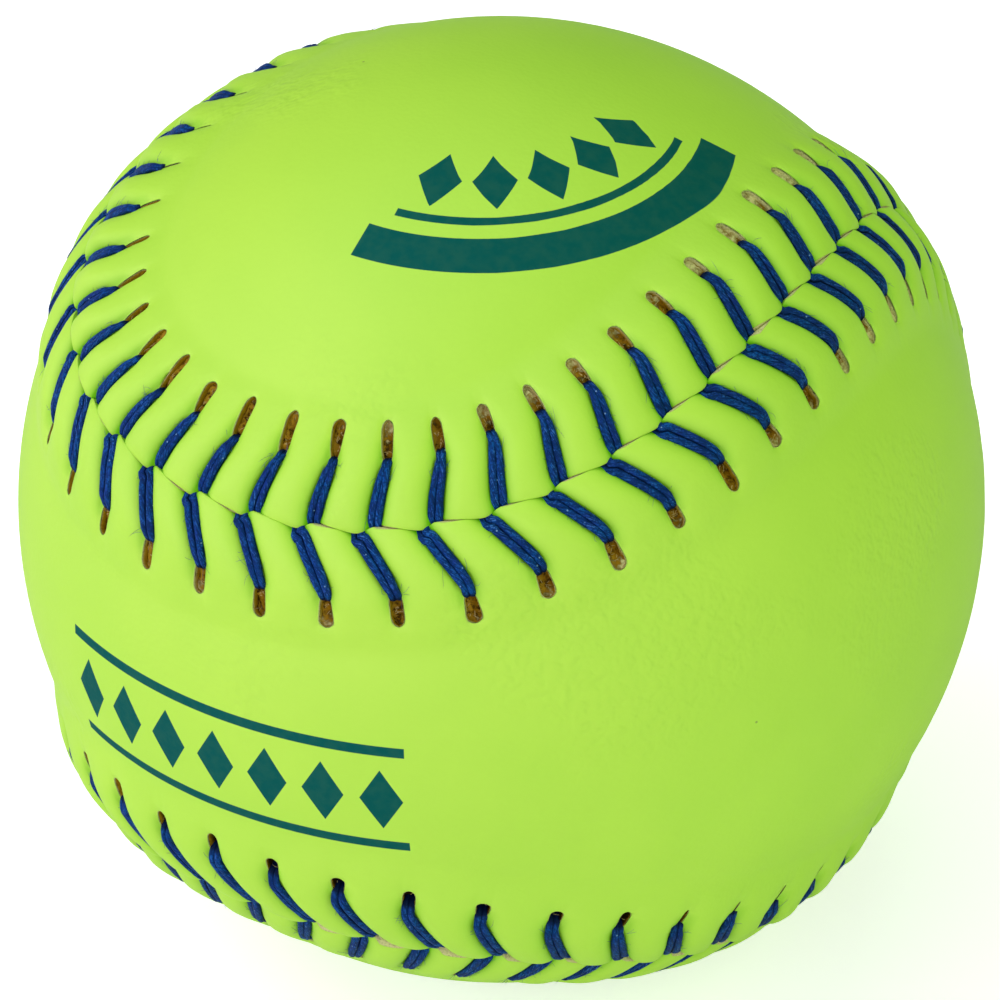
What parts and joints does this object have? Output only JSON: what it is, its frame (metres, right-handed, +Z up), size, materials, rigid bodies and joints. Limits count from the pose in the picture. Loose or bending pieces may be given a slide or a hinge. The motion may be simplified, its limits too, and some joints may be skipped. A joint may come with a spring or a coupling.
{
  "type": "softball",
  "caption": "Optic-yellow leather fastpitch softball: two figure-8 panels sewn with a raised, doubled blue seam over a wound core.",
  "frame": {"origin": "centre of the ball", "axes": "+Z up through the middle of the upper lobe of the back panel, -Y out through the waist of the front panel, X through the lobes of the front panel; X = 0 and Z = 0 are the seam's mirror planes"},
  "size_m": [0.0962, 0.0962, 0.0962],
  "materials": {
    "core": "matte",
    "yarn": "matte",
    "cement": "satin",
    "leather": "satin",
    "thread": "waxed"
  },
  "bodies": {
    "root": {"core": "core", "yarn_winding": "yarn", "cement_coat": "cement", "back_cover_panel": "leather", "front_cover_panel": "leather", "first_needle_thread": "thread", "second_needle_thread": "thread"}
  },
  "joints": []
}
